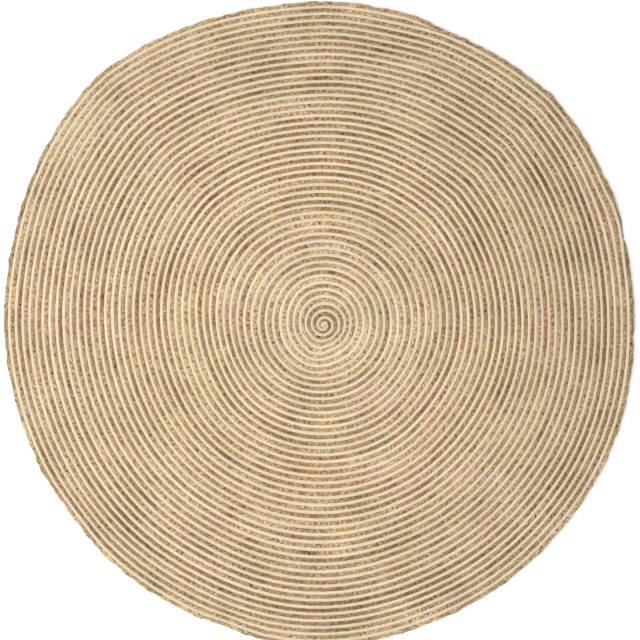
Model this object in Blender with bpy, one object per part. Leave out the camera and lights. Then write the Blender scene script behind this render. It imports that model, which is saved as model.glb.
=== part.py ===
"""Round rug of plaited jute and cotton, 1.8 m across.

One long cream plait and one long jute plait lie side by side and are sewn edge to edge into a
double spiral, about 46 turns from the eye in the middle to the rim. A last jute plait is sewn
once round the outside as a border. The rug lies flat on the floor, with its underside at z = 0.

A place in the spiral is given in turns. The spiral runs clockwise, seen from above, so the
angle falls by 360 degrees with each turn while the radius grows.
"""

import math

import bmesh
import bpy
from mathutils import Vector

# Plait heights, in metres. The jute is the thicker yarn and stands a little proud of the cotton.
JUTE_HEIGHT = 0.008
CREAM_HEIGHT = 0.007

# The cream plait's share of a pair's width, and how far a plait's rounded top is set in from
# each side, as a share of the plait's width.
CREAM_SHARE = 0.43
TOP_INSET = 0.24

# The stitching keeps neighbouring plaits this far apart.
SEAM_GAP = 0.0003

# The spiral's radius at turn 0, and the smallest radius that a plait's edge comes to at the eye.
START_RADIUS = 0.007
EYE_RADIUS = 0.0008

# The width of one cream-and-jute pair, zone by zone from the eye outwards.
# turns in the zone, width of a pair in metres
PAIR_ZONES = (
    (4.5, 0.0177),
    (6.0, 0.0193),
    (30.0, 0.0198),
    (6.5, 0.0189),
)

# The first turn of each plait in the spiral, and the turn at which both end.
CREAM_START = -11 / 12
JUTE_START = 3 / 12
SPIRAL_END = 45 + 39 / 48

# At the eye the cream plait is curled up on itself, with no jute between its turns, so its
# outside grows more slowly there: how far out it is at turn 0, and how far it moves in a turn.
CURL_TURN = 0.345
CURL_GROWTH = 0.537

# Over its last stretch the pair is drawn thin, to this share of its width, and its end goes
# under the border.
THINNING_TURNS = 1 / 48
END_SHARE = 0.12

# The border: the width of its plait, the turns where it starts and ends, how narrow it is pulled
# past the end of the spiral, and over how much of a turn.
BORDER_WIDTH = 0.0113
BORDER_START = 44.956
BORDER_END = 45.9435
PINCH_SHARE = 0.65
PINCH_TURNS = 0.014

# The border's end is rounded off over the last of its turns, and a thin flat tail of it goes on
# along the cream plait, nearly to where the border starts.
ROUNDING_TURNS = 0.003
ROUNDING_STEPS = 3
TAIL_WIDTH = 0.0026
TAIL_HEIGHT = 0.004
TAIL_END = BORDER_START + 0.9988

# Plaits are straight between stations, which lie closer together in the outer turns.
# up to this turn, stations for each turn
STATION_ZONES = (
    (8, 12),
    (44, 24),
    (99, 48),
)
BORDER_STATIONS = 96
TINY_TURN = 1e-6

# The rug was sewn by hand, so its rings are uneven. Each row swells every ring that crosses it,
# or flattens it where the height is below nought. A "side" moves the rings across as a whole, a
# "round" is a soft swell and a "point" a soft corner. The height builds up between the radii
# "from" and "full", and is gone again at the radius "faded", where that isn't 0.
# place, angle and reach in degrees, shape, height, from, full and faded in metres
UNEVENNESS = (
    ("eye", 180, 90, "side", 0.004, 0.000, 0.012, 0.040),
    ("rings off the eye", 122, 90, "side", 0.013, 0.000, 0.090, 0),
    ("swell below the eye", 250, 40, "round", 0.008, 0.030, 0.080, 0.220),
    ("flat beside the eye", 170, 60, "round", -0.008, 0.040, 0.100, 0.260),
    ("upper left corner", 133, 38, "point", 0.032, 0.200, 0.800, 0),
    ("upper left swell", 130, 60, "round", 0.005, 0.200, 0.320, 0.700),
    ("upper right corner", 45, 20, "point", 0.014, 0.350, 0.600, 0),
    ("upper right swell", 40, 50, "round", 0.005, 0.200, 0.300, 0.560),
    ("right side", 2, 36, "round", -0.019, 0.480, 0.820, 0),
    ("top", 100, 34, "round", -0.010, 0.480, 0.800, 0),
    ("dent at the spiral's end", 77, 14, "round", -0.009, 0.650, 0.800, 0),
    ("left side", 195, 40, "round", -0.010, 0.220, 0.330, 0),
    ("lower left rim", 165, 20, "round", -0.005, 0.650, 0.800, 0),
    ("bottom", 267, 30, "round", 0.014, 0.450, 0.720, 0),
    ("lower right side", 325, 32, "round", -0.007, 0.200, 0.320, 0),
    ("swell at the border's ends", 20, 8, "round", 0.009, 0.840, 0.880, 0),
    ("nick in the lower left rim", 217, 10, "round", -0.006, 0.840, 0.890, 0),
    ("nick in the bottom rim", 252, 7, "round", -0.007, 0.840, 0.890, 0),
)

# name, base colour, roughness
MATERIALS = {
    "cream_braid": ("cream_cotton", (0.81, 0.70, 0.53, 1.0), 0.90),
    "jute_braid": ("natural_jute", (0.43, 0.29, 0.14, 1.0), 0.85),
    "jute_border": ("border_jute", (0.41, 0.27, 0.13, 1.0), 0.85),
}


def clamp(value):
    """The value, kept between nought and one."""
    return min(max(value, 0.0), 1.0)


def even_radius(turn):
    """The radius at this place in the spiral, if the rug were perfectly even."""
    radius = START_RADIUS + PAIR_ZONES[0][1] * min(turn, 0.0)
    zone_start = 0.0
    for turns, pair_width in PAIR_ZONES:
        radius += pair_width * min(max(turn - zone_start, 0.0), turns)
        zone_start += turns
    return max(radius, EYE_RADIUS)


def swell(angle, radius):
    """How far the unevenness moves a ring outwards, at an angle in degrees."""
    total = 0.0
    for _place, middle, reach, shape, height, start, full, faded in UNEVENNESS:
        amount = clamp((radius - start) / (full - start))
        if faded > 0.0:
            amount *= 1.0 - clamp((radius - full) / (faded - full))
        away = ((angle - middle + 180.0) % 360.0 - 180.0) / reach
        if shape == "side":
            form = math.cos(math.pi / 2 * away)
        elif shape == "round":
            form = 0.5 + 0.5 * math.cos(math.pi * clamp(abs(away)))
        else:
            form = (1.0 - clamp(abs(away))) ** 1.5
        total += height * amount * form
    return total


def seam_point(turn, seam_turn, outwards, stations):
    """A point at the angle of a turn, on the seam at seam_turn, moved outwards a little.

    With this many stations in a turn, it stands out by half the depth of the arc that a straight
    stretch cuts off, so that the stretches lie as much inside the true ring as outside it.
    """
    angle = -360.0 * turn
    even = even_radius(seam_turn)
    standing_out = (1.0 / math.cos(math.pi / stations) - 1.0) / 2
    radius = (even + swell(angle, even)) * (1.0 + standing_out) + outwards
    across = math.radians(angle)
    return Vector((radius * math.cos(across), radius * math.sin(across), 0.0))


def pair_share(turn):
    """How much of its full width the cream-and-jute pair has at this turn."""
    thinned = clamp((turn - SPIRAL_END) / THINNING_TURNS + 1.0)
    return 1.0 - (1.0 - END_SHARE) * thinned


def stations_per_turn(turn):
    """The number of stations in each turn, just after this place in the spiral."""
    for zone_end, count in STATION_ZONES:
        if turn + TINY_TURN < zone_end:
            return count
    return STATION_ZONES[-1][1]


def seam_line(turn, pair_part, side):
    """A point of the straight-sided seam that runs through a pair.

    pair_part is 0 on the inside of the pair, 1 on its outside. side is 1 for the plait that lies
    outside the seam and -1 for the one that lies inside it.
    """
    count = stations_per_turn(turn)
    before = math.floor(turn * count + TINY_TURN) / count
    ends = []
    for station in (before, before + 1 / count):
        seam_turn = station - 1.0 + CREAM_SHARE / 2 + pair_part * pair_share(station)
        if pair_part == 1.0:
            seam_turn = max(seam_turn, CURL_TURN + CURL_GROWTH * station)
        stations = stations_per_turn(station)
        ends.append(seam_point(station, seam_turn, side * SEAM_GAP / 2, stations))
    return ends[0].lerp(ends[1], (turn - before) * count)


def spiral_stations(first, last):
    """The turns at which the spiral's plaits have a station, from first to last."""
    turns = [first]
    while turns[-1] < last - TINY_TURN:
        turns.append(turns[-1] + 1 / stations_per_turn(turns[-1]))
    return turns


def plait_ring(inner, outer, height):
    """The four corners of a plait's section: flat below, and narrower on top."""
    top = Vector((0.0, 0.0, height))
    return (
        inner,
        outer,
        outer.lerp(inner, TOP_INSET) + top,
        inner.lerp(outer, TOP_INSET) + top,
    )


def cream_rings():
    """The sections of the cream plait, from the eye outwards."""
    rings = []
    for turn in spiral_stations(CREAM_START, SPIRAL_END):
        inner = seam_line(turn, 1.0 - CREAM_SHARE, 1)
        outer = seam_line(turn, 1.0, -1)
        rings.append(plait_ring(inner, outer, CREAM_HEIGHT))
    return rings


def jute_rings():
    """The sections of the jute plait, which lies on the inside of the cream one."""
    rings = []
    for turn in spiral_stations(JUTE_START, SPIRAL_END):
        inner = previous_cream_seam(turn)
        outer = seam_line(turn, 1.0 - CREAM_SHARE, -1)
        rings.append(plait_ring(inner, outer, JUTE_HEIGHT))
    return rings


def previous_cream_seam(turn):
    """The outside of the cream plait one turn further in, where the next plait is sewn on."""
    return seam_line(turn - 1.0, 1.0, 1)


def border_stations():
    """The turns at which the border has a station, with the rounding of its end."""
    turns = [BORDER_START]
    next_station = math.floor(BORDER_START * BORDER_STATIONS) + 1
    rounding_start = BORDER_END - ROUNDING_TURNS
    while next_station / BORDER_STATIONS < rounding_start:
        turns.append(next_station / BORDER_STATIONS)
        next_station += 1
    for step in range(ROUNDING_STEPS + 1):
        turns.append(rounding_start + ROUNDING_TURNS * step / ROUNDING_STEPS)
    tail_station = math.floor(BORDER_END * BORDER_STATIONS) + 1
    turns.append(tail_station / BORDER_STATIONS)
    turns.append(TAIL_END)
    return turns


def border_size(turn):
    """The border's width and height at this turn."""
    if turn > BORDER_END:
        return TAIL_WIDTH, TAIL_HEIGHT
    pinch = 1.0 - clamp(abs(turn - SPIRAL_END) / PINCH_TURNS)
    width = BORDER_WIDTH * (1.0 - (1.0 - PINCH_SHARE) * pinch)
    rounded = clamp((turn - BORDER_END) / ROUNDING_TURNS + 1.0)
    width = TAIL_WIDTH + (width - TAIL_WIDTH) * math.sqrt(1.0 - rounded * rounded)
    height = TAIL_HEIGHT + (JUTE_HEIGHT - TAIL_HEIGHT) * math.sqrt(1.0 - rounded * rounded)
    return width, height


def border_rings():
    """The sections of the border, which lies on the outermost cream plait all the way."""
    rings = []
    for turn in border_stations():
        seam_turn = turn - 1.0 + CREAM_SHARE / 2
        if turn <= SPIRAL_END:
            seam_turn += pair_share(turn)
            inner = seam_line(turn, 1.0, 1)
        else:
            inner = previous_cream_seam(turn)
        width, height = border_size(turn)
        outer = seam_point(turn, seam_turn, width, BORDER_STATIONS)
        rings.append(plait_ring(inner, outer, height))
    return rings


def middle_of(rings):
    """The middle of the box round some sections, on the floor."""
    across = [corner.x for ring in rings for corner in ring]
    along = [corner.y for ring in rings for corner in ring]
    return Vector(((min(across) + max(across)) / 2, (min(along) + max(along)) / 2, 0.0))


def plait_object(name, rings, middle, collection):
    """A closed solid lofted through a plait's sections, with the rug's middle at the origin."""
    shape = bmesh.new()
    loops = []
    for ring in rings:
        loops.append([shape.verts.new(corner - middle) for corner in ring])
    for loop, next_loop in zip(loops, loops[1:]):
        for here, there in ((0, 1), (1, 2), (2, 3), (3, 0)):
            shape.faces.new((loop[here], loop[there], next_loop[there], next_loop[here]))
    shape.faces.new(reversed(loops[0]))
    shape.faces.new(loops[-1])
    bmesh.ops.recalc_face_normals(shape, faces=shape.faces)
    bmesh.ops.triangulate(shape, faces=shape.faces)
    mesh = bpy.data.meshes.new(name)
    shape.to_mesh(mesh)
    shape.free()
    mesh.materials.append(plait_material(*MATERIALS[name]))
    plait = bpy.data.objects.new(name, mesh)
    collection.objects.link(plait)


def plait_material(name, colour, roughness):
    """A plain yarn material."""
    material = bpy.data.materials.new(name)
    material.use_nodes = True
    shader = material.node_tree.nodes["Principled BSDF"]
    shader.inputs["Base Color"].default_value = colour
    shader.inputs["Roughness"].default_value = roughness
    shader.inputs["Metallic"].default_value = 0.0
    return material


def main():
    """Remove what the scene holds and make the rug."""
    for thing in list(bpy.data.objects):
        bpy.data.objects.remove(thing)
    collection = bpy.data.collections.new("round_jute_rug")
    bpy.context.scene.collection.children.link(collection)
    border = border_rings()
    middle = middle_of(border)
    plait_object("cream_braid", cream_rings(), middle, collection)
    plait_object("jute_braid", jute_rings(), middle, collection)
    plait_object("jute_border", border, middle, collection)


main()
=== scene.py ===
import math

import bmesh
import bpy
import numpy as np
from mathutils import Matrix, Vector


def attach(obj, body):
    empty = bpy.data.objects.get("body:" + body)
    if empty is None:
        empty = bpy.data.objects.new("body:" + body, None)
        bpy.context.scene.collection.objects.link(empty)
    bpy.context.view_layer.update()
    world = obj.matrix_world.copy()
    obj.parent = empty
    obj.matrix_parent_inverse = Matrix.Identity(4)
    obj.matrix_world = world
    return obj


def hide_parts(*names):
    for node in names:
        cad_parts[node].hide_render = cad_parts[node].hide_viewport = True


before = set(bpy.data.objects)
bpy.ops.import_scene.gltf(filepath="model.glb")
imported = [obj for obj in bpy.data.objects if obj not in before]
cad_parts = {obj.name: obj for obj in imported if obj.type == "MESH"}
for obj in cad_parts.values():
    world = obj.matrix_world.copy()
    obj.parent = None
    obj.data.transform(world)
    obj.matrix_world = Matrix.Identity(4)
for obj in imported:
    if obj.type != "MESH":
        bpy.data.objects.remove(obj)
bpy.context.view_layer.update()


# ---------------------------------------------------------------------------------------------
# The cream plait: three strands of soft cotton, plaited flat, 8.5 mm wide and nearly 8 mm thick.
# It starts at the eye of the rug and goes round outwards, clockwise, in about 46 hand-sewn turns.
# It is one plait of 130 m, made here in four stretches that meet end to end.
# ---------------------------------------------------------------------------------------------

# Where the eye of the spiral lies in the rug's frame.
EYE = Vector((0.0172, -0.0049, 0.0))

# The rings' spacing: the radius at turn 0, the least radius there is, and the zones from the eye
# outwards, each with its turns and the width of a cream-and-jute pair.
START_RADIUS = 0.007
EYE_RADIUS = 0.0008
PAIR_ZONES = (
    (4.5, 0.0177),
    (6.0, 0.0193),
    (30.0, 0.0198),
    (6.5, 0.0189),
)

# The cream plait's share of a pair, the turns where it starts and where the spiral ends, and how
# the pair is drawn thin there: over how much of a turn, and to what share of its width.
CREAM_SHARE = 0.43
CREAM_START = -11 / 12
SPIRAL_END = 45 + 39 / 48
THINNING_TURNS = 1 / 48
END_SHARE = 0.12

# At the eye the cream plait is curled up on itself, with no jute between its turns, so its
# outside grows more slowly there: how far out it is at turn 0, and how far it moves in a turn.
CURL_TURN = 0.345
CURL_GROWTH = 0.537

# The hand-sewn rings' swells and flats: place, angle and reach in degrees, shape, height, and the
# radii where the height sets in, is full and has faded, where that isn't 0.
UNEVENNESS = (
    ("eye", 180, 90, "side", 0.004, 0.000, 0.012, 0.040),
    ("rings off the eye", 122, 90, "side", 0.013, 0.000, 0.090, 0),
    ("swell below the eye", 250, 40, "round", 0.008, 0.030, 0.080, 0.220),
    ("flat beside the eye", 170, 60, "round", -0.008, 0.040, 0.100, 0.260),
    ("upper left corner", 133, 38, "point", 0.032, 0.200, 0.800, 0),
    ("upper left swell", 130, 60, "round", 0.005, 0.200, 0.320, 0.700),
    ("upper right corner", 45, 20, "point", 0.014, 0.350, 0.600, 0),
    ("upper right swell", 40, 50, "round", 0.005, 0.200, 0.300, 0.560),
    ("right side", 2, 36, "round", -0.019, 0.480, 0.820, 0),
    ("top", 100, 34, "round", -0.010, 0.480, 0.800, 0),
    ("dent at the spiral's end", 77, 14, "round", -0.009, 0.650, 0.800, 0),
    ("left side", 195, 40, "round", -0.010, 0.220, 0.330, 0),
    ("lower left rim", 165, 20, "round", -0.005, 0.650, 0.800, 0),
    ("bottom", 267, 30, "round", 0.014, 0.450, 0.720, 0),
    ("lower right side", 325, 32, "round", -0.007, 0.200, 0.320, 0),
    ("swell at the border's ends", 20, 8, "round", 0.009, 0.840, 0.880, 0),
    ("nick in the lower left rim", 217, 10, "round", -0.006, 0.840, 0.890, 0),
    ("nick in the bottom rim", 252, 7, "round", -0.007, 0.840, 0.890, 0),
)

# The sides of a point curve in with this power.
POINT_POWER = 1.5


def clamp(value):
    """The value, kept between nought and one."""
    return min(max(value, 0.0), 1.0)


def even_radius(turn):
    """The radius at this place in the spiral, if the rug were perfectly even."""
    radius = START_RADIUS + PAIR_ZONES[0][1] * min(turn, 0.0)
    zone_start = 0.0
    for turns, pair_width in PAIR_ZONES:
        radius += pair_width * min(max(turn - zone_start, 0.0), turns)
        zone_start += turns
    return max(radius, EYE_RADIUS)


def swell(angle, radius):
    """How far the unevenness moves a ring outwards, at an angle in degrees."""
    total = 0.0
    for _place, middle, reach, shape, height, start, full, faded in UNEVENNESS:
        amount = clamp((radius - start) / (full - start))
        if faded > 0.0:
            amount *= 1.0 - clamp((radius - full) / (faded - full))
        away = ((angle - middle + 180.0) % 360.0 - 180.0) / reach
        if shape == "side":
            form = math.cos(math.pi / 2 * away)
        elif shape == "round":
            form = 0.5 + 0.5 * math.cos(math.pi * clamp(abs(away)))
        else:
            form = (1.0 - clamp(abs(away))) ** POINT_POWER
        total += height * amount * form
    return total


def pair_share(turn):
    """How much of its full width the cream-and-jute pair has at this turn."""
    thinned = clamp((turn - SPIRAL_END) / THINNING_TURNS + 1.0)
    return 1.0 - (1.0 - END_SHARE) * thinned


def seam_radius(turn, pair_part):
    """The radius of a pair's seam at this turn: part 0 is its inside and part 1 its outside."""
    seam_turn = turn - 1.0 + CREAM_SHARE / 2 + pair_part * pair_share(turn)
    if pair_part == 1.0:
        seam_turn = max(seam_turn, CURL_TURN + CURL_GROWTH * turn)
    even = even_radius(seam_turn)
    return even + swell(-360.0 * turn, even)


def cream_section(turn):
    """The radii of the cream plait's two seams at this turn, and its height."""
    height = CREAM_HEIGHT * pair_share(turn) ** END_SINKING
    return seam_radius(turn, 1.0 - CREAM_SHARE), seam_radius(turn, 1.0), height


# A plait's path has this many points in each turn.
PATH_POINTS = 96

# Where the pair is drawn thin, its height goes down with this power of its width.
END_SINKING = 0.4

# A rounded end of a plait goes down to these shares of its full width and height.
TIP_WIDTH = 0.2
TIP_HEIGHT = 0.3


def plait_path(first, last, section, width, height, rounding):
    """Points along the middle of a plait, with its width and height as shares of the full ones.

    The two ends are rounded off over the lengths that rounding gives.
    """
    count = math.ceil((last - first) * PATH_POINTS)
    path = []
    gone = 0.0
    for step in range(count + 1):
        turn = first + (last - first) * step / count
        inner, outer, high = section(turn)
        angle = math.radians(-360.0 * turn)
        place = EYE + Vector((math.cos(angle), math.sin(angle), 0.0)) * (inner + outer) / 2
        if path:
            gone += (place - path[-1][0]).length
        path.append([place, gone, (outer - inner) / width, high / height])
    for point in path:
        for left, length in ((point[1], rounding[0]), (gone - point[1], rounding[1])):
            if left < length:
                round_share = math.sqrt(1.0 - (1.0 - left / length) ** 2)
                point[2] *= TIP_WIDTH + (1.0 - TIP_WIDTH) * round_share
                point[3] *= TIP_HEIGHT + (1.0 - TIP_HEIGHT) * round_share
    return path


def path_guide(name, path):
    """A curve along a plait's path, which bends a straight plait and scales its width."""
    curve = bpy.data.curves.new(name, "CURVE")
    curve.dimensions = "3D"
    curve.twist_mode = "Z_UP"
    spline = curve.splines.new("POLY")
    spline.points.add(len(path) - 1)
    for point, (place, _gone, width_share, _height_share) in zip(spline.points, path):
        point.co = (*place, 1.0)
        point.radius = width_share
    guide = bpy.data.objects.new(name, curve)
    bpy.context.scene.collection.objects.link(guide)
    return guide


STRANDS = 3

# A repeat starts this far into a strand's swing, so that the steps of a strand lie at the plait's
# edges and on both sides of its middle.
START_PHASE = 1 / 12

# Plaited by hand, the repeats come out longer and shorter: wave length, how far they are moved.
# They are moved less and less over this length towards a plait's ends.
HAND_WAVES = (
    (0.173, 0.0030),
    (0.311, 0.0045),
    (0.067, 0.0010),
)
WAVES_FADE = 0.06

# How high a strand is lifted at the steps next to the plait's middle, as a share of its lift.
LIFT_AT_STEPS = 0.87

# A face of a strand that faces up this much belongs to its flat top.
TOP_FACING = 0.4

# Corners of neighbouring repeats this close to each other are made one.
MERGE_REACH = 0.00005

# In the UV map "strand", U is how far along the plait it is, in metres, and V is the strand's
# number and half of the share of the way round it, from below. Its flat top has a third of that.
ROUND_IN_MAP = 0.5
TOP_IN_ROUND = 1 / 3
# The whole way round a strand, in metres.
STRAND_GIRTH = 0.026

# The yarn has specks and changes its hue, changes in patches, and drifts slowly, over these
# lengths of a plait. Neighbouring rings are alike over patches of the region's size; the region's
# lighter and darker patches are partly random tone and partly painted shade of soft undulations
# that the flat rug here doesn't have.
SPECK_LENGTH = 0.0065
SPECK_WIDTH = 0.0036
HUE_LENGTH = 0.014
HUE_WIDTH = 0.005
PATCH_LENGTH = 0.11
DRIFT_LENGTH = 0.9
REGION_SIZE = 0.16

# Where the noises are cut, so that no two of them, and no two strands, are alike.
STRANDS_APART = 7.3
TONE_CUT = 1.7
PATCH_CUT = (3.1, 5.9)
DRIFT_CUT = (8.4, 2.2)

# The sockets of a mix node that take and give colours.
MIX_FIRST = 6
MIX_SECOND = 7
MIX_RESULT = 2


def strand_place(phase):
    """A strand's place across the plait and its height, as shares of its swing and its lift.

    It lies on top on its way out to an edge and underneath on its way back, and goes through one
    repeat of the plait while the phase goes through one.
    """
    angle = math.tau * (phase + START_PHASE)
    return math.sin(angle), math.sin(2.0 * angle)


def plait_repeat(first, length, size, strand_size, steps, sides):
    """One repeat of a three-strand plait, first repeats out along X, with its ends open.

    size is the plait's width and height, and strand_size a strand's, whose top is flat.
    """
    height = size[1]
    swing = (size[0] - strand_size[0]) / 2
    lift = (size[1] - strand_size[1]) / 2 / LIFT_AT_STEPS
    flat_top = math.cos(math.pi / sides)
    half_width = strand_size[0] / 2 / math.cos(math.pi / sides / 2)
    half_height = strand_size[1] / (1.0 + flat_top)
    middle = height / 2 + half_height * (1.0 - flat_top) / 2
    shape = bmesh.new()
    shape.loops.layers.uv.new("strand")
    for strand in range(STRANDS):
        middles = []
        for step in range(steps + 1):
            across, up = strand_place(step / steps + strand / STRANDS)
            along = length * (first + step / steps)
            middles.append(Vector((along, swing * across, middle + lift * up)))
        ring = bmesh.ops.create_circle(shape, segments=sides, radius=1.0)["verts"]
        for number, corner in enumerate(ring):
            round_angle = math.tau * (number + 0.5) / sides + math.pi / 2
            off_across = half_width * math.cos(round_angle)
            off_up = half_height * math.sin(round_angle)
            corner.co = middles[0] + Vector((0.0, off_across, off_up))
        edges = {edge for corner in ring for edge in corner.link_edges}
        for here, there in zip(middles, middles[1:]):
            made = bmesh.ops.extrude_edge_only(shape, edges=list(edges))["geom"]
            corners = [part for part in made if isinstance(part, bmesh.types.BMVert)]
            edges = {part for part in made if isinstance(part, bmesh.types.BMEdge)}
            bmesh.ops.translate(shape, verts=corners, vec=there - here)
            for face in {face for corner in corners for face in corner.link_faces}:
                map_strand_face(shape, face, strand, here, there)
    return shape


def map_strand_face(shape, face, strand, here, there):
    """Give a face of a strand its place along the plait and round the strand, from below."""
    strand_map = shape.loops.layers.uv["strand"]
    rounds = []
    for loop in face.loops:
        at_start = abs(loop.vert.co.x - here.x) < abs(loop.vert.co.x - there.x)
        off = loop.vert.co - (here if at_start else there)
        rounds.append((math.atan2(off.z, off.y) / math.tau + 0.25) % 1.0)
    if max(rounds) - min(rounds) > 0.5:
        rounds = [share + 1.0 if share < 0.5 else share for share in rounds]
    for loop, share in zip(face.loops, rounds):
        loop[strand_map].uv = (loop.vert.co.x, strand + ROUND_IN_MAP * share)


def applied(thing):
    """Replace an object's mesh by what its modifiers make of it, and remove them."""
    before = thing.data
    thing.data = bpy.data.meshes.new_from_object(
        thing.evaluated_get(bpy.context.evaluated_depsgraph_get())
    )
    thing.modifiers.clear()
    bpy.data.meshes.remove(before)


def plait_row(name, repeats, length, sizes, fineness):
    """A straight row of a plait's repeats along X, as open strands."""
    unit = plait_repeat(repeats[0], length, *sizes, *fineness)
    mesh = bpy.data.meshes.new(name)
    unit.to_mesh(mesh)
    unit.free()
    piece = bpy.data.objects.new(name, mesh)
    bpy.context.scene.collection.objects.link(piece)
    row = piece.modifiers.new("row", "ARRAY")
    row.count = repeats[1] - repeats[0]
    row.use_relative_offset = False
    row.use_constant_offset = True
    row.constant_offset_displace = (length, 0.0, 0.0)
    row.use_merge_vertices = True
    row.merge_threshold = MERGE_REACH
    row.offset_u = length
    applied(piece)
    return piece


def roughened(piece, roughness):
    """Give a piece lumps: how large they are, and how far they stand out."""
    for scale, strength in roughness:
        clouds = bpy.data.textures.new(piece.name, "CLOUDS")
        clouds.noise_scale = scale
        rough = piece.modifiers.new("rough", "DISPLACE")
        rough.texture = clouds
        rough.texture_coords = "LOCAL"
        rough.strength = strength
        rough.mid_level = 0.5
    applied(piece)


def plait_stretch(name, guide, path, repeats, length, sizes, fineness, roughness, swells=()):
    """A stretch of a plait: its repeats in a row, bent along the guide, roughened and closed.

    repeats are the first of them and the one after the last, sizes the width and height of the
    plait and of a strand, and fineness the steps in a repeat and the sides of a strand. swells
    are waves of its outer edge: how long, and how far out.
    """
    piece = plait_row(name, repeats, length, sizes, fineness)
    places = np.zeros(len(piece.data.vertices) * 3, np.float32)
    piece.data.vertices.foreach_get("co", places)
    along = places[0::3].copy()
    moved = np.clip(np.minimum(along, path[-1][1] - along) / WAVES_FADE, 0.0, 1.0)
    for wave, reach in HAND_WAVES:
        places[0::3] += moved * reach * np.sin(math.tau * along / wave)
    outer = np.clip(0.5 + places[1::3] / sizes[0][0], 0.0, 1.0)
    for wave, reach in swells:
        places[1::3] += outer * reach * np.sin(math.tau * along / wave)
    piece.data.vertices.foreach_set("co", places)
    bend = piece.modifiers.new("bend", "CURVE")
    bend.object = guide
    bend.deform_axis = "POS_X"
    applied(piece)
    gone = [point[1] for point in path]
    stand = np.interp(along, gone, [point[3] / point[2] for point in path])
    piece.data.vertices.foreach_get("co", places)
    places[2::3] *= stand
    piece.data.vertices.foreach_set("co", places)
    roughened(piece, roughness)
    finish_strands(piece.data)
    piece.data.name = name
    return piece


def finish_strands(mesh):
    """Close the strands' cut ends, keep the plait above the floor, and crease the flat tops."""
    shape = bmesh.new()
    shape.from_mesh(mesh)
    bmesh.ops.holes_fill(shape, edges=[edge for edge in shape.edges if edge.is_boundary], sides=0)
    for corner in shape.verts:
        corner.co.z = max(corner.co.z, 0.0)
    bmesh.ops.recalc_face_normals(shape, faces=shape.faces)
    for face in shape.faces:
        face.smooth = True
    # An edge between a top face and one that faces down is a crease.
    for edge in shape.edges:
        facing = [face.normal.z for face in edge.link_faces]
        edge.smooth = max(facing) < TOP_FACING or min(facing) > 0.0
    shape.to_mesh(mesh)
    shape.free()


def fed(tree, socket, value):
    """Set a node's socket to a number, or link another node's socket to it."""
    if isinstance(value, (int, float)):
        socket.default_value = value
    else:
        tree.links.new(value, socket)


def maths(tree, operation, *values):
    """The result of a maths node on numbers and sockets."""
    node = tree.nodes.new("ShaderNodeMath")
    node.operation = operation
    for socket, value in zip(node.inputs, values):
        fed(tree, socket, value)
    return node.outputs[0]


def noise(tree, along, across, third, detail):
    """The three channels of a noise at a place made of numbers and sockets."""
    place = tree.nodes.new("ShaderNodeCombineXYZ")
    for socket, value in zip(place.inputs, (along, across, third)):
        fed(tree, socket, value)
    node = tree.nodes.new("ShaderNodeTexNoise")
    node.inputs["Scale"].default_value = 1.0
    node.inputs["Detail"].default_value = detail
    tree.links.new(place.outputs[0], node.inputs["Vector"])
    channels = tree.nodes.new("ShaderNodeSeparateColor")
    tree.links.new(node.outputs["Color"], channels.inputs[0])
    return channels.outputs


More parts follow.
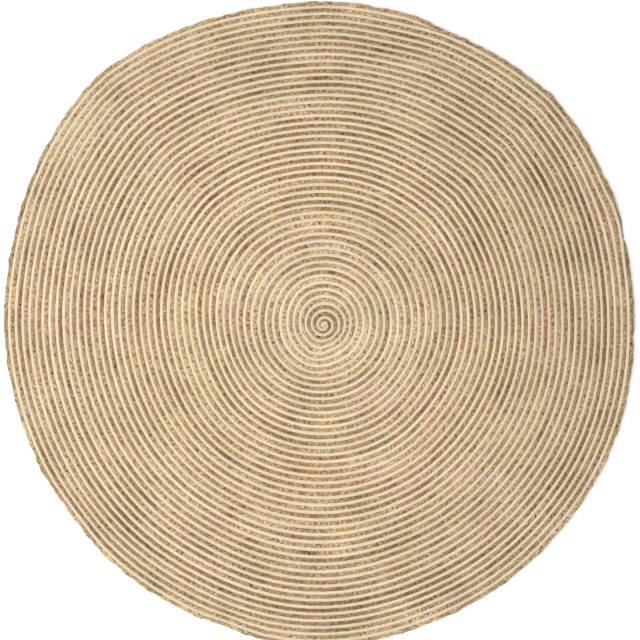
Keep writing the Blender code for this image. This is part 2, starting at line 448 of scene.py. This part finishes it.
def yarn_group():
    """Node group: what the yarn is like at a point of a plait, read from the map "strand".

    Along and Strand are its place in the map, and Sag is how far a strand's flat top is rounded
    down there. Fibres, Specks, Hue, Tone, Patch and Drift are noises along the strand, Region is
    one over the face of the rug, and Outwards is the distance from the eye.
    """
    group = bpy.data.node_groups.new("yarn", "ShaderNodeTree")
    for name in ("Fibre length", "Fibre width", "Twist", "Tone length"):
        group.interface.new_socket(name, in_out="INPUT", socket_type="NodeSocketFloat")
    for name in (
        "Along", "Strand", "Fibres", "Specks", "Hue", "Tone",
        "Patch", "Patch hue", "Drift", "Region", "Region hue", "Outwards", "Sag",
    ):
        group.interface.new_socket(name, in_out="OUTPUT", socket_type="NodeSocketFloat")
    nodes = group.nodes
    link = group.links.new
    given = nodes.new("NodeGroupInput").outputs
    result = nodes.new("NodeGroupOutput").inputs

    strand_map = nodes.new("ShaderNodeUVMap")
    strand_map.uv_map = "strand"
    split = nodes.new("ShaderNodeSeparateXYZ")
    link(strand_map.outputs[0], split.inputs[0])
    along, number_and_share, _none = split.outputs
    strand = maths(group, "FLOOR", number_and_share)
    share = maths(group, "DIVIDE", maths(group, "FRACT", number_and_share), ROUND_IN_MAP)
    link(along, result["Along"])
    link(strand, result["Strand"])
    off_top = maths(group, "SUBTRACT", share, 0.5)
    from_top = maths(group, "DIVIDE", off_top, TOP_IN_ROUND / 2)
    squared = maths(group, "MULTIPLY", from_top, from_top)
    link(maths(group, "MINIMUM", squared, 1.0), result["Sag"])

    round_strand = maths(group, "MULTIPLY", share, STRAND_GIRTH)
    twist = maths(group, "MULTIPLY", along, given["Twist"])
    twisted = maths(group, "ADD", round_strand, twist)
    apart = maths(group, "MULTIPLY", strand, STRANDS_APART)
    for name, length, width, detail, channel in (
        ("Fibres", given["Fibre length"], given["Fibre width"], 3.0, 0),
        ("Specks", SPECK_LENGTH, SPECK_WIDTH, 1.0, 1),
        ("Hue", HUE_LENGTH, HUE_WIDTH, 1.0, 1),
    ):
        shares = [maths(group, "DIVIDE", *pair) for pair in ((along, length), (twisted, width))]
        link(noise(group, *shares, apart, detail)[channel], result[name])
    share = maths(group, "DIVIDE", along, given["Tone length"])
    link(noise(group, share, apart, TONE_CUT, 2.0)[0], result["Tone"])
    share = maths(group, "DIVIDE", along, PATCH_LENGTH)
    patch = noise(group, share, *PATCH_CUT, 2.0)
    link(patch[0], result["Patch"])
    link(patch[1], result["Patch hue"])
    share = maths(group, "DIVIDE", along, DRIFT_LENGTH)
    link(noise(group, share, *DRIFT_CUT, 1.0)[0], result["Drift"])

    place = nodes.new("ShaderNodeTexCoord").outputs["Object"]
    region = nodes.new("ShaderNodeTexNoise")
    region.inputs["Scale"].default_value = 1.0 / REGION_SIZE
    region.inputs["Detail"].default_value = 1.0
    link(place, region.inputs["Vector"])
    link(region.outputs["Fac"], result["Region"])
    channels = nodes.new("ShaderNodeSeparateColor")
    link(region.outputs["Color"], channels.inputs[0])
    link(channels.outputs[2], result["Region hue"])
    from_eye = nodes.new("ShaderNodeVectorMath")
    from_eye.operation = "DISTANCE"
    from_eye.inputs[1].default_value = EYE
    link(place, from_eye.inputs[0])
    link(from_eye.outputs["Value"], result["Outwards"])
    return group


YARN = yarn_group()


def yarn_material(name, fibre_length, fibre_width, twist, tone_length):
    """A matt yarn material with the yarn group in it, and the parts to finish it with."""
    material = bpy.data.materials.new(name)
    material.use_nodes = True
    tree = material.node_tree
    yarn = tree.nodes.new("ShaderNodeGroup")
    yarn.node_tree = YARN
    yarn.inputs["Fibre length"].default_value = fibre_length
    yarn.inputs["Fibre width"].default_value = fibre_width
    yarn.inputs["Twist"].default_value = twist
    yarn.inputs["Tone length"].default_value = tone_length
    return material, tree, yarn, tree.nodes["Principled BSDF"]


def colour_ramp(tree, value, stops):
    """Colours along a value: place, red, green and blue."""
    ramp = tree.nodes.new("ShaderNodeValToRGB")
    elements = ramp.color_ramp.elements
    while len(elements) < len(stops):
        elements.new(0.5)
    for element, (place, *colour) in zip(elements, stops):
        element.position = place
        element.color = (*colour, 1.0)
    tree.links.new(value, ramp.inputs[0])
    return ramp.outputs["Color"]


def multiplied(tree, first, second):
    """Two colours, multiplied."""
    mix = tree.nodes.new("ShaderNodeMix")
    mix.data_type = "RGBA"
    mix.blend_type = "MULTIPLY"
    mix.inputs["Factor"].default_value = 1.0
    tree.links.new(first, mix.inputs[MIX_FIRST])
    tree.links.new(second, mix.inputs[MIX_SECOND])
    return mix.outputs[MIX_RESULT]


def shaded(tree, yarn, shades):
    """The yarn's colour: the first of the shades, multiplied by all the others.

    A shade is an output of the yarn group and its stops: place, red, green and blue.
    """
    body = None
    for name, *stops in shades:
        shade = colour_ramp(tree, yarn.outputs[name], stops)
        body = multiplied(tree, body, shade) if body else shade
    return body


def toned(tree, colour, powers, middle):
    """A colour with each channel raised to a power, which leaves the middle colour as it is."""
    apart = tree.nodes.new("ShaderNodeSeparateColor")
    together = tree.nodes.new("ShaderNodeCombineColor")
    tree.links.new(colour, apart.inputs[0])
    for channel, (power, level) in enumerate(zip(powers, middle)):
        raised = maths(tree, "POWER", apart.outputs[channel], power)
        scaled = maths(tree, "MULTIPLY", raised, level ** (1.0 - power))
        tree.links.new(scaled, together.inputs[channel])
    return together.outputs[0]


def yarn_bump(tree, yarn, shader, fibre_height, rounding):
    """Raise the fibres, and round a strand's flat top down to its edges, both in metres."""
    total = 0.0
    for name, height in (("Fibres", fibre_height), ("Sag", -rounding)):
        total = maths(tree, "MULTIPLY_ADD", yarn.outputs[name], height, total)
    bump = tree.nodes.new("ShaderNodeBump")
    bump.inputs["Strength"].default_value = 1.0
    bump.inputs["Distance"].default_value = 1.0
    tree.links.new(total, bump.inputs["Height"])
    tree.links.new(bump.outputs["Normal"], shader.inputs["Normal"])


# The cotton's shades: an output of the yarn group, and stops along it (place, red, green, blue).
CREAM_SHADES = (
    (
        "Tone",
        (0.30, 0.69, 0.57, 0.42),
        (0.50, 0.73, 0.61, 0.46),
        (0.70, 0.77, 0.66, 0.51),
    ),
    (
        "Fibres",
        (0.30, 0.92, 0.91, 0.89),
        (0.65, 1.00, 1.00, 1.00),
    ),
    (
        "Drift",
        (0.30, 0.94, 0.94, 0.92),
        (0.70, 1.04, 1.04, 1.04),
    ),
    # Lighter and darker patches over the rug's face: partly random tone, partly painted shade of
    # soft undulations.
    (
        "Region",
        (0.30, 0.95, 0.95, 0.94),
        (0.70, 1.03, 1.03, 1.03),
    ),
    (
        "Hue",
        (0.32, 0.97, 0.98, 0.93),
        (0.68, 1.01, 1.00, 1.04),
    ),
    (
        "Outwards",
        (0.50, 1.00, 1.00, 1.00),
        (0.75, 0.96, 0.96, 0.96),
    ),
)


def cream_cotton():
    """Soft undyed cotton: even cream, with the faint lines of its fibres."""
    material, tree, yarn, shader = yarn_material(
        "cream_cotton", fibre_length=0.012, fibre_width=0.0006, twist=0.6, tone_length=0.060
    )
    tree.links.new(shaded(tree, yarn, CREAM_SHADES), shader.inputs["Base Color"])
    shader.inputs["Roughness"].default_value = 0.9
    shader.inputs["Specular IOR Level"].default_value = 0.25
    shader.inputs["Sheen Weight"].default_value = 0.15
    yarn_bump(tree, yarn, shader, fibre_height=0.0003, rounding=0.0008)
    return material


# The plait's width and height, and the length in which its three strands repeat.
CREAM_WIDTH = 0.0085
CREAM_HEIGHT = 0.0077
CREAM_REPEAT = 0.0285
# How wide the plait is drawn, as a share of its width: soft cotton bulges over its neighbours.
CREAM_BEDDING = 1.17
# A strand's width and height, and the lengths over which the plait's two ends are rounded off.
CREAM_STRAND = (0.0070, 0.0058)
CREAM_ROUNDING = (0.008, 0.0)
# Lumps in the strands: their size and how far they stand out.
CREAM_ROUGHNESS = (
    (0.009, 0.0008),
    (0.040, 0.0006),
)

# Steps in a repeat, and sides of a strand, round the eye and further out. Round the eye, where a
# plait is bent tightly, its first repeats are made finer.
EYE_REPEATS = 30
CREAM_FINENESS = ((12, 3), (6, 3))


def long_plait(name, path, repeat, sizes, fineness, roughness, material):
    """The four stretches of a plait that goes round the whole rug."""
    guide = path_guide(name + "_path", path)
    total = round(path[-1][1] / repeat)
    length = path[-1][1] / total
    third = (total - EYE_REPEATS) // 3
    ends = (0, EYE_REPEATS, EYE_REPEATS + third, EYE_REPEATS + 2 * third, total)
    pieces = []
    for place, repeats in zip(("eye", "inner", "middle", "outer"), zip(ends, ends[1:])):
        piece = plait_stretch(
            name + "_" + place,
            guide,
            path,
            repeats,
            length,
            sizes,
            fineness[0] if place == "eye" else fineness[1],
            roughness,
        )
        piece.data.materials.append(material)
        pieces.append(piece)
    bpy.data.objects.remove(guide)
    return pieces


cream_path = plait_path(
    CREAM_START, SPIRAL_END, cream_section, CREAM_WIDTH, CREAM_HEIGHT, CREAM_ROUNDING
)
cream_plait = long_plait(
    "cream_plait",
    cream_path,
    CREAM_REPEAT,
    ((CREAM_WIDTH * CREAM_BEDDING, CREAM_HEIGHT), CREAM_STRAND),
    CREAM_FINENESS,
    CREAM_ROUGHNESS,
    cream_cotton(),
)
for piece in cream_plait:
    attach(piece, "root")
    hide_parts("cream_braid")


# ---------------------------------------------------------------------------------------------
# The jute plait: three strands of loosely spun natural jute, plaited flat, 11.3 mm wide and 8 mm
# thick. It lies on the inside of the cream plait all the way and is sewn to it on both edges.
# One strand of the three is a darker yarn, and all of them are mottled from tan to brown.
# ---------------------------------------------------------------------------------------------

# The plait's width and height, the turn where it starts, and the length in which it repeats.
JUTE_WIDTH = 0.0113
JUTE_HEIGHT = 0.008
JUTE_START = 3 / 12
JUTE_REPEAT = 0.031
# Then as for the cream plait. Jute is stiff, and keeps to its own width.
JUTE_BEDDING = 0.99
JUTE_STRAND = (0.0074, 0.0063)
JUTE_FINENESS = ((12, 3), (6, 3))
JUTE_ROUNDING = (0.006, 0.0)
JUTE_ROUGHNESS = (
    (0.008, 0.0014),
    (0.045, 0.0008),
)
# Which strand is the darker yarn, its tint, and how much paler the other two are.
DARKER_STRAND = 1
DARKER_TINT = (1.00, 0.94, 0.88)
PALER_SHADE = (1.05, 1.05, 1.05)
# Pale fibres are greyer and dark ones browner: the powers that red, green and blue are raised to,
# and the colour that stays as it is.
JUTE_POWERS = (0.83, 1.0, 1.25)
JUTE_MIDDLE = (0.46, 0.31, 0.155)
JUTE_SHADES = (
    (
        "Tone",
        (0.28, 0.23, 0.148, 0.071),
        (0.45, 0.49, 0.326, 0.168),
        (0.60, 0.56, 0.383, 0.209),
        (0.75, 0.58, 0.409, 0.233),
    ),
    (
        "Patch",
        (0.30, 0.60, 0.59, 0.58),
        (0.44, 0.95, 0.95, 0.95),
        (0.58, 1.04, 1.04, 1.04),
        (0.72, 1.08, 1.08, 1.09),
    ),
    (
        "Patch hue",
        (0.30, 0.95, 1.00, 0.90),
        (0.47, 0.99, 1.00, 1.02),
        (0.60, 1.03, 0.97, 0.88),
        (0.72, 1.00, 0.99, 1.05),
    ),
    (
        "Hue",
        (0.36, 0.93, 0.99, 0.93),
        (0.50, 1.00, 1.01, 1.06),
        (0.64, 1.10, 0.99, 0.86),
    ),
    (
        "Region hue",
        (0.32, 0.96, 1.00, 0.94),
        (0.50, 1.00, 1.00, 1.00),
        (0.68, 1.03, 0.98, 1.04),
    ),
    (
        "Drift",
        (0.30, 0.72, 0.72, 0.72),
        (0.50, 1.01, 1.01, 1.01),
        (0.70, 1.14, 1.14, 1.15),
    ),
    # Lighter and darker patches over the rug's face: partly random tone, partly painted shade of
    # soft undulations.
    (
        "Region",
        (0.30, 0.74, 0.74, 0.74),
        (0.50, 1.01, 1.01, 1.01),
        (0.70, 1.13, 1.13, 1.14),
    ),
    (
        "Outwards",
        (0.04, 1.18, 1.22, 1.26),
        (0.16, 1.13, 1.22, 1.22),
        (0.32, 1.12, 1.14, 1.10),
        (0.46, 0.95, 0.94, 0.89),
        (0.60, 0.98, 1.01, 1.03),
        (0.76, 0.85, 0.88, 0.90),
        (0.83, 0.87, 0.91, 0.94),
        (0.92, 1.17, 1.25, 1.29),
    ),
    (
        "Fibres",
        (0.25, 0.46, 0.43, 0.41),
        (0.48, 1.00, 1.00, 1.00),
        (0.62, 1.09, 1.09, 1.09),
    ),
    (
        "Specks",
        (0.33, 0.14, 0.13, 0.13),
        (0.43, 0.62, 0.62, 0.62),
        (0.51, 1.06, 1.06, 1.06),
        (0.66, 1.18, 1.18, 1.18),
    ),
)


def jute_section(turn):
    """The radii of the jute plait's two seams at this turn, and its height."""
    height = JUTE_HEIGHT * pair_share(turn) ** END_SINKING
    return seam_radius(turn - 1.0, 1.0), seam_radius(turn, 1.0 - CREAM_SHARE), height


def jute_yarn(name, darkness, rounding):
    """Natural jute: mottled from tan to brown, with one darker strand and dark specks, and
    lighter and darker patches over the rug's face that are partly painted shade.

    darkness is how dark that strand is made. Returns the material, and the colour in it.
    """
    material, tree, yarn, shader = yarn_material(
        name, fibre_length=0.015, fibre_width=0.0009, twist=0.9, tone_length=0.022
    )
    in_darker = maths(tree, "COMPARE", yarn.outputs["Strand"], DARKER_STRAND, 0.5)
    darker_shade = [darkness * tint for tint in DARKER_TINT]
    strands = colour_ramp(tree, in_darker, ((0.0, *PALER_SHADE), (1.0, *darker_shade)))
    body = multiplied(tree, shaded(tree, yarn, JUTE_SHADES), strands)
    body = toned(tree, body, JUTE_POWERS, JUTE_MIDDLE)
    tree.links.new(body, shader.inputs["Base Color"])
    shader.inputs["Roughness"].default_value = 0.85
    shader.inputs["Specular IOR Level"].default_value = 0.3
    yarn_bump(tree, yarn, shader, fibre_height=0.0005, rounding=rounding)
    return material, body


jute_path = plait_path(
    JUTE_START, SPIRAL_END, jute_section, JUTE_WIDTH, JUTE_HEIGHT, JUTE_ROUNDING
)
jute_plait = long_plait(
    "jute_plait",
    jute_path,
    JUTE_REPEAT,
    ((JUTE_WIDTH * JUTE_BEDDING, JUTE_HEIGHT), JUTE_STRAND),
    JUTE_FINENESS,
    JUTE_ROUGHNESS,
    jute_yarn("natural_jute", darkness=0.80, rounding=0.0010)[0],
)
for piece in jute_plait:
    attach(piece, "root")
    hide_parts("jute_braid")


# ---------------------------------------------------------------------------------------------
# The border: one more jute plait, sewn once round the outermost cream one. Past the spiral's end
# it is pulled narrow, its own end is rounded off, and a thin flat tail of it is sewn down along
# the cream plait, nearly to where the border starts.
# ---------------------------------------------------------------------------------------------

# The turns where it starts and where its full width ends, and the length in which it repeats.
BORDER_START = 44.956
BORDER_END = 45.9435
BORDER_REPEAT = 0.031
# Nothing lies against its outer edge, so its strands are narrower and swing out more.
BORDER_BEDDING = 1.10
BORDER_STRAND = (0.0068, 0.0063)
BORDER_FINENESS = (9, 5)
BORDER_ROUGHNESS = (
    (0.006, 0.0024),
    (0.045, 0.0008),
)
# Its outer edge bulges and draws in between the stitches: wave length, how far out.
BORDER_SWELLS = (
    (0.151, 0.0009),
    (0.103, 0.0006),
    (0.076, 0.0005),
    (0.058, 0.0006),
    (0.041, 0.0007),
)
BORDER_ROUNDING = (0.003, 0.004)
# Where it passes the spiral's end: its share of the width left, and the turns on each side.
PINCH_SHARE = 0.65
PINCH_TURNS = 0.014
# Its end is rounded off over this much of a turn. Its tail goes on from there, a little off the
# cream plait.
ROUNDING_TURNS = 0.003
TAIL_WIDTH = 0.0046
TAIL_HEIGHT = 0.006
TAIL_OFF = 0.0012
TAIL_END = BORDER_START + 0.9988
# The tail's dull grey is partly its darker, squashed yarn and partly painted shade, where it lies
# under the cream plait's flank.
TAIL_COLOUR_AND_SHADE = (0.155, 0.115, 0.115, 1.0)


def border_section(turn):
    """The radii of the border's two edges at this turn, and its height."""
    inner = seam_radius(turn, 1.0) if turn <= SPIRAL_END else seam_radius(turn - 1.0, 1.0)
    pinch = 1.0 - clamp(abs(turn - SPIRAL_END) / PINCH_TURNS)
    width = JUTE_WIDTH * (1.0 - (1.0 - PINCH_SHARE) * pinch)
    rounded = clamp((turn - BORDER_END) / ROUNDING_TURNS + 1.0)
    full = math.sqrt(1.0 - rounded * rounded)
    width = TAIL_WIDTH + (width - TAIL_WIDTH) * full
    height = TAIL_HEIGHT + (JUTE_HEIGHT - TAIL_HEIGHT) * full
    inner += TAIL_OFF * rounded
    return inner, inner + width, height


def border_yarn(tail_start):
    """The border's jute, with its tail from this far along it painted dull grey: partly its
    darker yarn, partly painted shade from the cream plait's flank.
    """
    material, body = jute_yarn("border_jute", darkness=0.88, rounding=0.0)
    tree = material.node_tree
    yarn = next(node for node in tree.nodes if node.type == "GROUP")
    mix = tree.nodes.new("ShaderNodeMix")
    mix.data_type = "RGBA"
    mix.inputs[MIX_SECOND].default_value = TAIL_COLOUR_AND_SHADE
    in_tail = maths(tree, "GREATER_THAN", yarn.outputs["Along"], tail_start)
    tree.links.new(in_tail, mix.inputs["Factor"])
    tree.links.new(body, mix.inputs[MIX_FIRST])
    shader = tree.nodes["Principled BSDF"]
    tree.links.new(mix.outputs[MIX_RESULT], shader.inputs["Base Color"])
    return material


border_path = plait_path(
    BORDER_START, TAIL_END, border_section, JUTE_WIDTH, JUTE_HEIGHT, BORDER_ROUNDING
)
border_repeats = round(border_path[-1][1] / BORDER_REPEAT)
border_guide = path_guide("border_plait_path", border_path)
border_plait = plait_stretch(
    "border_plait",
    border_guide,
    border_path,
    (0, border_repeats),
    border_path[-1][1] / border_repeats,
    ((JUTE_WIDTH * BORDER_BEDDING, JUTE_HEIGHT), BORDER_STRAND),
    BORDER_FINENESS,
    BORDER_ROUGHNESS,
    BORDER_SWELLS,
)
bpy.data.objects.remove(border_guide)
tail_share = (BORDER_END - BORDER_START) / (TAIL_END - BORDER_START)
border_plait.data.materials.append(border_yarn(border_path[-1][1] * tail_share))
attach(border_plait, "root")
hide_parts("jute_border")


# ---------------------------------------------------------------------------------------------
# The stitching: the thread that runs to and fro through neighbouring plaits at half their height
# and holds the spiral together as one flat cloth. It only shows as a dull thread colour at the
# bottom of the notches between strands, so it is one thin layer here.
# ---------------------------------------------------------------------------------------------

STITCHING_THICKNESS = 0.0012
STITCHING_HEIGHT = 0.0030
STITCHING_POINTS = 384
# How far it reaches under the border, as a share of what the border is wider than its tail.
STITCHING_REACH = 0.35
# The pattern of its crossing threads, in repeats a metre.
THREAD_SCALE = 600.0


def stitching_thread():
    """Dull beige thread with a fine crossing pattern."""
    material = bpy.data.materials.new("stitching_thread")
    material.use_nodes = True
    tree = material.node_tree
    shader = tree.nodes["Principled BSDF"]
    place = tree.nodes.new("ShaderNodeTexCoord")
    threads = tree.nodes.new("ShaderNodeTexNoise")
    threads.inputs["Scale"].default_value = THREAD_SCALE
    tree.links.new(place.outputs["Object"], threads.inputs["Vector"])
    colour = colour_ramp(
        tree,
        threads.outputs["Fac"],
        (
            (0.3, 0.36, 0.26, 0.150),
            (0.7, 0.56, 0.44, 0.280),
        ),
    )
    tree.links.new(colour, shader.inputs["Base Color"])
    shader.inputs["Roughness"].default_value = 0.95
    return material


def stitching_layer():
    """A thin layer inside the plaits, out to the border."""
    shape = bmesh.new()
    rim = bmesh.ops.create_circle(shape, segments=STITCHING_POINTS, radius=1.0, cap_ends=True)
    for number, corner in enumerate(rim["verts"]):
        turn = BORDER_START + number / STITCHING_POINTS
        inner, outer, _height = border_section(turn)
        radius = inner + STITCHING_REACH * (outer - inner - TAIL_WIDTH)
        angle = math.radians(-360.0 * turn)
        corner.co = EYE + Vector((math.cos(angle), math.sin(angle), 0.0)) * radius
        corner.co.z = STITCHING_HEIGHT
    area = sum(face.calc_area() for face in shape.faces)
    made = bmesh.ops.extrude_face_region(shape, geom=list(shape.faces))["geom"]
    upper = [part for part in made if isinstance(part, bmesh.types.BMVert)]
    bmesh.ops.translate(shape, verts=upper, vec=(0.0, 0.0, STITCHING_THICKNESS))
    bmesh.ops.recalc_face_normals(shape, faces=shape.faces)
    bmesh.ops.triangulate(shape, faces=shape.faces)
    mesh = bpy.data.meshes.new("stitching")
    shape.to_mesh(mesh)
    shape.free()
    mesh.materials.append(stitching_thread())
    layer = bpy.data.objects.new("stitching", mesh)
    bpy.context.scene.collection.objects.link(layer)
    return layer, area


stitching, stitched_area = stitching_layer()
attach(stitching, "root")


# ---------------------------------------------------------------------------------------------
# The studio: a plain near-white floor, one large soft lamp overhead, a little to the left, and
# the camera straight above the rug, as in the photograph.
# ---------------------------------------------------------------------------------------------

CAMERA_PLACE = (0.0028, 0.0106, 5.017)
LENS = 100.0
SENSOR_WIDTH = 36.0
FLOOR_SIZE = 40.0
FLOOR_COLOUR = (0.86, 0.86, 0.86, 1.0)
LAMP_PLACE = (-2.4, -0.7, 3.6)
LAMP_SIZE = 4.0
LAMP_POWER = 135.0
SKY_COLOUR = (1.0, 1.0, 1.0, 1.0)
SKY_STRENGTH = 0.86

camera = bpy.data.objects.new("camera", bpy.data.cameras.new("camera"))
camera.location = CAMERA_PLACE
camera.data.lens = LENS
camera.data.sensor_width = SENSOR_WIDTH
bpy.context.scene.collection.objects.link(camera)
bpy.context.scene.camera = camera

lamp = bpy.data.objects.new("lamp", bpy.data.lights.new("lamp", "AREA"))
lamp.data.shape = "DISK"
lamp.data.size = LAMP_SIZE
lamp.data.energy = LAMP_POWER
lamp.location = LAMP_PLACE
lamp.rotation_euler = Vector(LAMP_PLACE).to_track_quat("Z", "Y").to_euler()
bpy.context.scene.collection.objects.link(lamp)

sky = bpy.data.worlds.new("sky")
sky.use_nodes = True
background = sky.node_tree.nodes["Background"]
background.inputs["Color"].default_value = SKY_COLOUR
background.inputs["Strength"].default_value = SKY_STRENGTH
bpy.context.scene.world = sky
bpy.context.scene.view_settings.view_transform = "Standard"


def studio_floor():
    """A flat near-white floor."""
    shape = bmesh.new()
    bmesh.ops.create_grid(shape, x_segments=1, y_segments=1, size=FLOOR_SIZE / 2)
    mesh = bpy.data.meshes.new("floor")
    shape.to_mesh(mesh)
    shape.free()
    material = bpy.data.materials.new("floor_paint")
    material.use_nodes = True
    shader = material.node_tree.nodes["Principled BSDF"]
    shader.inputs["Base Color"].default_value = FLOOR_COLOUR
    shader.inputs["Roughness"].default_value = 0.9
    mesh.materials.append(material)
    floor = bpy.data.objects.new("floor", mesh)
    bpy.context.scene.collection.objects.link(floor)
    return floor


studio_floor()
